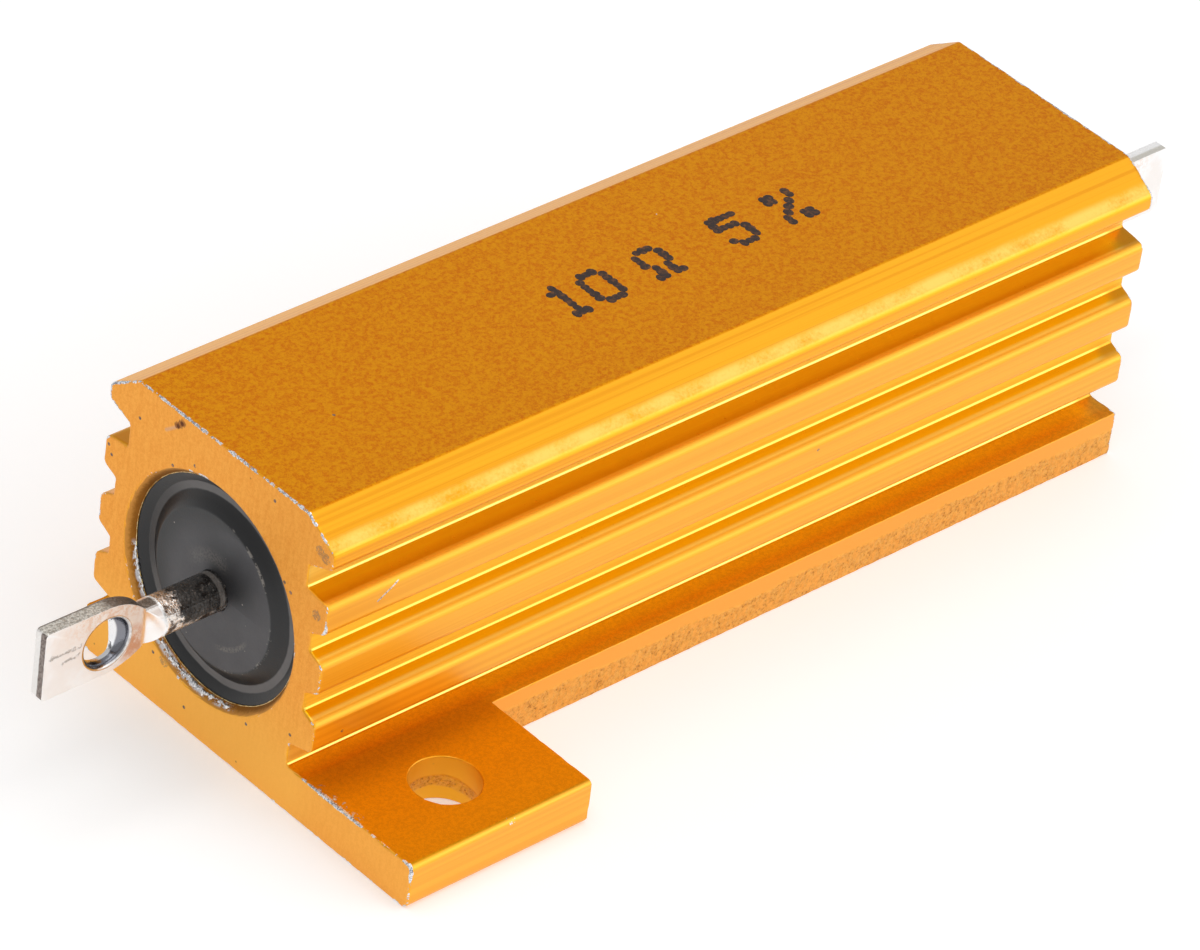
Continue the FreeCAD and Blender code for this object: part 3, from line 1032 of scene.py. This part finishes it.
# %% Geometry tree helpers
class Tree(Nodes):
    """A Geometry Nodes tree whose inputs have names."""

    def __init__(self, name):
        super().__init__(bpy.data.node_groups.new(name, "GeometryNodeTree"))
        self.tree.is_modifier = True
        self.start = self.tree.nodes.new("NodeGroupInput")
        self.tree.interface.new_socket("Geometry", in_out="OUTPUT", socket_type="NodeSocketGeometry")
        self.geometry = self.size("Geometry", "Geometry")

    def size(self, name, kind="Float"):
        """Adds a named input, and gives back its value."""
        self.tree.interface.new_socket(name, in_out="INPUT", socket_type="NodeSocket" + kind)
        return Value(self, self.start.outputs[name])

    def noise(self, place, seed, scale, detail, roughness):
        """Clouds around 0.5, and other clouds for another seed."""
        return self.node("ShaderNodeTexNoise",
                         {"Vector": place, "W": seed, "Scale": scale, "Detail": detail,
                          "Roughness": roughness}, noise_dimensions="4D")

    def finish(self, geometry, material):
        """Ends the tree: real geometry, in metres, with its material."""
        real = self.node("GeometryNodeRealizeInstances", {"Geometry": geometry})
        metres = self.node("GeometryNodeTransform", {"Geometry": real, "Scale": (MM,) * 3})
        dressed = self.node("GeometryNodeSetMaterial", {"Geometry": metres, "Material": material})
        self.feed(self.tree.nodes.new("NodeGroupOutput").inputs[0], dressed)
        return self.tree


def grow(name, tree, sizes, seed_mesh=None):
    """Runs a tree with the given sizes, and keeps the result as a plain mesh at the origin."""
    holder = new_object(name + "_holder", seed_mesh or bpy.data.meshes.new(name + "_seed"))
    modifier = holder.modifiers.new("grown", "NODES")
    modifier.node_group = tree
    sockets = {item.name: item.identifier for item in tree.interface.items_tree if item.in_out == "INPUT"}
    for size_name, value in sizes.items():
        modifier[sockets[size_name]] = value
    seen = holder.evaluated_get(bpy.context.evaluated_depsgraph_get())
    mesh = bpy.data.meshes.new_from_object(seen)
    bpy.data.objects.remove(holder)
    bm = bmesh.new()
    bm.from_mesh(mesh)
    bmesh.ops.recalc_face_normals(bm, faces=bm.faces)
    bm.to_mesh(mesh)
    bm.free()
    mesh.name = name
    show(name, mesh)


# %% Bead tree
def bead_tree():
    """A ragged bead of metal along an arc on a mouth's flare. Side is -1 in front and 1 behind."""
    tree = Tree("bead_on_the_flare")
    side, start, sweep, height, wander, thickness, least, seed = [tree.size(name) for name in (
        "Side", "Start", "Sweep", "Height", "Wander", "Thickness", "Least", "Seed")]
    points = tree.size("Points", "Int")
    material = tree.size("Material", "Material")
    arc = tree.node("GeometryNodeCurveArc",
                    {"Resolution": points, "Radius": bore_radius, "Start Angle": start,
                     "Sweep Angle": sweep}, "Curve", mode="RADIUS")
    place = tree.node("GeometryNodeInputPosition")
    lift = tree.noise(place, seed, 2.5, 3.0, 0.8)
    swell = tree.noise(place, seed + 9.0, 3.5, 2.0, 0.7)
    up = height + (lift - 0.5) * wander
    outwards = tree.scaled(tree.vector("NORMALIZE", place), up * flare_rise)
    forwards = tree.scaled((0, 0, flare_run), up * side)
    moved = tree.node("GeometryNodeSetPosition",
                      {"Geometry": arc, "Offset": tree.vector("ADD", outwards, forwards)})
    swollen = tree.node("ShaderNodeMapRange",
                        {"Value": swell, "From Min": 0.42, "From Max": 0.66, "To Min": least,
                         "To Max": 1.0}, "Result")
    profile = tree.node("GeometryNodeCurvePrimitiveCircle",
                        {"Resolution": 6, "Radius": 1.0}, "Curve", mode="RADIUS")
    swept = tree.node("GeometryNodeCurveToMesh",
                      {"Curve": moved, "Profile Curve": profile, "Scale": swollen * thickness,
                       "Fill Caps": True})
    foot_of_flare = tree.node("ShaderNodeCombineXYZ", {"X": side * mouth_start, "Z": axis_z}, "Vector")
    stood = tree.node("GeometryNodeTransform",
                      {"Geometry": swept, "Rotation": (math.pi / 2, 0, math.pi / 2),
                       "Translation": foot_of_flare})
    return tree.finish(stood, material)


# %% Bare and gilded metal
def torn_metal():
    paint = Paint("torn_metal")
    grain = paint.noise(9.0, 2, 0.7)
    paint.colour = paint.mix(paint.step(grain, 0.36, 0.6), "d6d8dc", "ffffff")
    return paint.surface(Metallic=1.0, Roughness=0.25 + 0.2 * grain, Normal=paint.bump(grain, 0.03))


def lip_metal():
    paint = Paint("lip_metal")
    grain = paint.noise(2.5, 3, 0.7)
    paint.colour = paint.mix(paint.step(grain, 0.35, 0.65), "b98436", "f3dfa8")
    return paint.surface(Metallic=1.0, Roughness=0.35 + 0.1 * grain, Normal=paint.bump(grain, 0.01))


# %% Lips and burrs
bead = bead_tree()
lip = {"Start": 0.0, "Sweep": 2 * math.pi, "Height": 0.02, "Wander": 0.1, "Thickness": 0.035,
       "Least": 0.5, "Points": 400, "Material": lip_metal()}
burr = {"Side": -1.0, "Material": torn_metal()}
beads = {
    "bore_lip_front": {**lip, "Side": -1.0, "Seed": 1.0},
    "bore_lip_rear": {**lip, "Side": 1.0, "Seed": 3.0},
    "bore_burr_side": {**burr, "Start": -0.62, "Sweep": 0.48, "Height": 0.1, "Wander": 0.5,
                       "Thickness": 0.1, "Least": 0.15, "Seed": 2.0, "Points": 90},
    "bore_burr_low": {**burr, "Start": -1.93, "Sweep": 0.92, "Height": 0.4, "Wander": 0.9,
                      "Thickness": 0.2, "Least": 0.08, "Seed": 3.0, "Points": 150},
}
for name, sizes in beads.items():
    grow(name, bead, sizes)

# %% [markdown]
# ## Rating print
#
# A resistor's value is printed on its top by an ink jet, as rows of small dots of dark brown
# ink. This one carries a plain value and tolerance. The figures are written below as rows of
# dots, and a second tree puts a flat drop of ink on each one, every drop with its own size.

# %% Figures as rows of dots
figures = {
    "1": "..#.. .##.. ..#.. ..#.. ..#.. ..#.. .###.",
    "0": ".###. #...# #...# #...# #...# #...# .###.",
    "5": "##### #.... ####. ....# ....# #...# .###.",
    "%": "##..# ##..# ...#. ..#.. .#... #..## #..##",
    "Ω": ".###. #...# #...# #...# .#.#. .#.#. ##.##",
    " ": "... " * 7,
}
dot_pitch = 0.34
middle_row = 3


def print_dots(text, middle_x):
    """The places of the dots of a line of text, centred on the top face."""
    dots, column = [], 0
    for letter in text:
        rows = figures[letter].split()
        dots += [(column + i, middle_row - j) for j, row in enumerate(rows)
                 for i, mark in enumerate(row) if mark == "#"]
        column += len(rows[0]) + 1
    return [(middle_x + (c - column / 2) * dot_pitch, r * dot_pitch, top_z) for c, r in dots]


value_dots = print_dots("10 Ω  5 %", 2.0)
print(len(value_dots), "dots of ink")


# %% Print tree
def print_tree():
    """A flat drop of ink on every point, uneven in size and place."""
    tree = Tree("ink_drops")
    radius, thickness, scatter = [tree.size(name) for name in ("Radius", "Thickness", "Scatter")]
    seed = tree.size("Seed", "Int")
    material = tree.size("Material", "Material")
    points = tree.node("GeometryNodeMeshToPoints", {"Mesh": tree.geometry, "Radius": 0.1})
    spread = tree.node("FunctionNodeRandomValue",
                       {"Min": (-1, -1, 0), "Max": (1, 1, 0), "Seed": seed}, data_type="FLOAT_VECTOR")
    moved = tree.node("GeometryNodeSetPosition",
                      {"Geometry": points, "Offset": tree.scaled(spread, scatter)})
    drop = tree.node("GeometryNodeMeshCylinder",
                     {"Vertices": 10, "Side Segments": 1, "Radius": radius, "Depth": thickness}, "Mesh",
                     fill_type="NGON")
    uneven = tree.node("FunctionNodeRandomValue",
                       {"Min": (0.8, 0.8, 0.6), "Max": (1.15, 1.15, 1.4), "Seed": seed + 1.0},
                       data_type="FLOAT_VECTOR")
    drops = tree.node("GeometryNodeInstanceOnPoints",
                      {"Points": moved, "Instance": drop, "Scale": uneven})
    return tree.finish(drops, material)


def printing_ink():
    paint = Paint("printing_ink")
    soak = paint.noise(4.5, 3, 0.7)
    paint.colour = paint.mix(paint.step(soak, 0.45, 0.75), "2a1710", "6e4218")
    return paint.surface(Roughness=0.5 + 0.1 * soak, Normal=paint.bump(soak, 0.004))


dots_mesh = bpy.data.meshes.new("ink_places")
dots_mesh.from_pydata(value_dots, [], [])
grow("rating_print", print_tree(),
     {"Radius": 0.25, "Thickness": 0.012, "Scatter": 0.02, "Seed": 7, "Material": printing_ink()},
     dots_mesh)

# %% [markdown]
# ## The sealed element
#
# Nobody sees the ceramic core, its winding and its end caps, but they are in the frame, so
# each gets a plain finish of its own.

# %% Inner pieces
def plain_finish(name, dark, light, metallic, roughness, scale):
    """A finish with soft variation, for a piece that is sealed in."""
    paint = Paint(name)
    clouds = paint.noise(scale, 3, 0.6)
    paint.colour = paint.mix(clouds, dark, light)
    return paint.surface(Metallic=metallic, Roughness=roughness + 0.1 * clouds,
                         Normal=paint.bump(clouds, 0.01))


inner_finishes = {
    "ceramic_core": plain_finish("steatite", "cfc8ba", "e6e0d4", 0.0, 0.7, 2.0),
    "resistance_winding": plain_finish("resistance_alloy", "7d7468", "a59b8c", 1.0, 0.35, 6.0),
}
for end in ("front", "rear"):
    cap_steel = plain_finish("cap_steel_" + end, "8e8e8e", "b4b4b2", 1.0, 0.3, 3.0)
    inner_finishes["end_cap_" + end] = cap_steel
for node_name, finish in inner_finishes.items():
    node_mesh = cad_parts[node_name].data
    node_mesh.materials.clear()
    node_mesh.materials.append(finish)
print("inner pieces:", ", ".join(inner_finishes))
